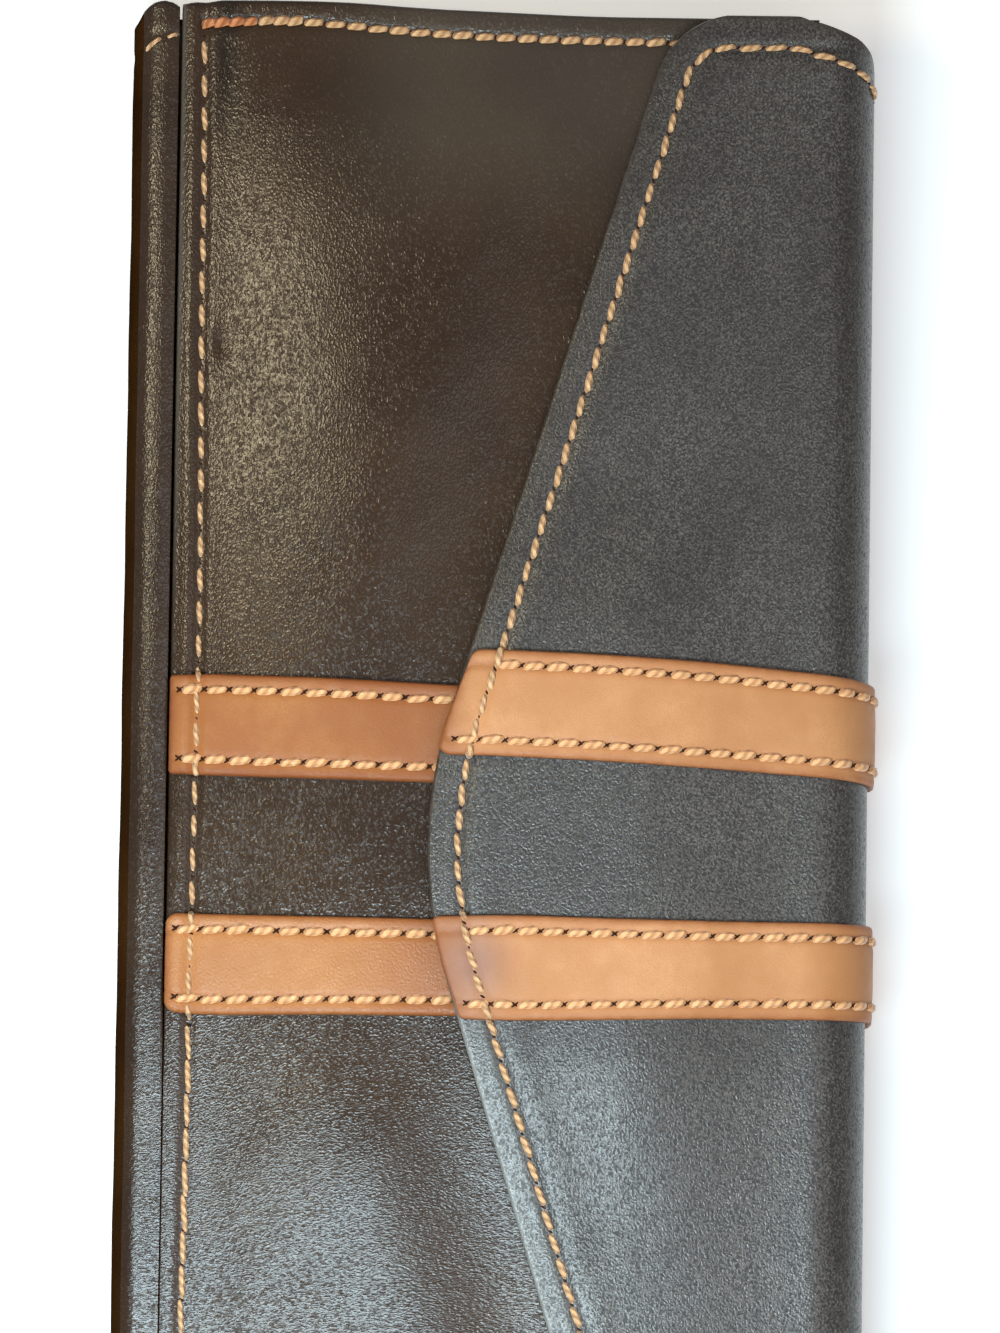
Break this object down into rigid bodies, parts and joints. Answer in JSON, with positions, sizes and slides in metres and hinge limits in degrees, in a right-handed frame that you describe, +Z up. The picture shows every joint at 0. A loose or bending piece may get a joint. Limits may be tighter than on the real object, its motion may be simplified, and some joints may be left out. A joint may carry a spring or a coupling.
{
  "type": "clutch wallet",
  "caption": "Long dark brown leather clutch wallet with a V flap round one edge, two tan straps, end gussets and an inner zipped coin pocket.",
  "frame": {"origin": "on the surface that the wallet lies on, under the middle of its bounding box", "axes": "+X along the wallet's long side, +Y towards the edge that the flap folds round, +Z up through its thickness, front side up"},
  "size_m": [0.21, 0.0934, 0.0269],
  "materials": {
    "board": "grey-brown fibre board",
    "foam": "thin padding felt",
    "lining_leather": "smooth, matt, dark brown",
    "magnet_steel": "plain plated",
    "outer_leather": "fine pebbled grain, semi-gloss dark brown",
    "seam_thread": "waxed gold-tan thread",
    "strap_leather": "smooth matt tan, darker edges",
    "zip_metal": "antique brass, satin",
    "zip_tape": "woven tape, dark brown"
  },
  "bodies": {
    "wallet_back": {"back_leather": "outer_leather", "back_board": "board", "back_lining": "lining_leather", "fold_lining": "lining_leather", "card_slot_sheet_1": "lining_leather", "card_slot_sheet_2": "lining_leather", "card_slot_sheet_3": "lining_leather", "gusset_head": "lining_leather", "gusset_foot": "lining_leather", "back_strap_head": "strap_leather", "back_strap_foot": "strap_leather", "back_seam_thread": "seam_thread", "fold_stitch_head": "seam_thread", "fold_stitch_foot": "seam_thread"},
    "flap_turn": {"turn_leather": "outer_leather", "turn_lining": "lining_leather", "turn_strap_head": "strap_leather", "turn_strap_foot": "strap_leather"},
    "flap": {"flap_leather": "outer_leather", "flap_board": "board", "flap_lining": "lining_leather", "flap_magnet": "magnet_steel", "flap_seam_thread": "seam_thread", "flap_strap_head": "strap_leather", "flap_strap_foot": "strap_leather", "flap_strap_thread_head": "seam_thread", "flap_strap_thread_foot": "seam_thread"},
    "front_panel": {"front_leather": "outer_leather", "front_foam": "foam", "front_lining": "lining_leather", "front_magnet": "magnet_steel", "front_seam_thread": "seam_thread", "front_strap_head": "strap_leather", "front_strap_foot": "strap_leather", "front_strap_thread_head": "seam_thread", "front_strap_thread_foot": "seam_thread"},
    "coin_pocket": {"pocket_wall_back": "lining_leather", "pocket_wall_front": "lining_leather", "pocket_bottom_strip": "lining_leather", "zip_tape_back": "zip_tape", "zip_tape_front": "zip_tape", "zip_teeth_back": "zip_metal", "zip_teeth_front": "zip_metal", "zip_stop_head": "zip_metal", "zip_stop_foot": "zip_metal"},
    "slider": {"zip_slider": "zip_metal"},
    "pull": {"zip_pull": "zip_metal"}
  },
  "joints": [
    {"name": "flap_rear_bend", "type": "hinge", "parent": "wallet_back", "child": "flap_turn", "pos_m": [0, 0.04423, 0.00247], "axis": [-1, 0, 0], "range_deg": [0, 90]},
    {"name": "flap_front_bend", "type": "hinge", "parent": "flap_turn", "child": "flap", "pos_m": [0, 0.04423, 0.02083], "axis": [-1, 0, 0], "range_deg": [0, 90]},
    {"name": "front_lift", "type": "hinge", "parent": "wallet_back", "child": "front_panel", "pos_m": [0, -0.04055, 0.01684], "axis": [1, 0, 0], "range_deg": [0, 10], "deforming": ["gusset_head", "gusset_foot"]},
    {"name": "pocket_lift", "type": "hinge", "parent": "wallet_back", "child": "coin_pocket", "pos_m": [0, -0.036, 0.0123], "axis": [1, 0, 0], "range_deg": [0, 5]},
    {"name": "zip_slide", "type": "slide", "parent": "coin_pocket", "child": "slider", "axis": [1, 0, 0], "range_m": [0, 0.163]},
    {"name": "pull_swing", "type": "hinge", "parent": "slider", "child": "pull", "pos_m": [-0.0815, 0.02715, 0.0123], "axis": [0, 0, 1], "range_deg": [0, 180]}
  ],
  "couplings": [
    {"joint": "flap_front_bend", "follows": "flap_rear_bend", "ratio": 1},
    {"joint": "front_lift", "follows": "flap_rear_bend", "ratio": 0.11111},
    {"joint": "pocket_lift", "follows": "flap_rear_bend", "ratio": 0.055556}
  ]
}
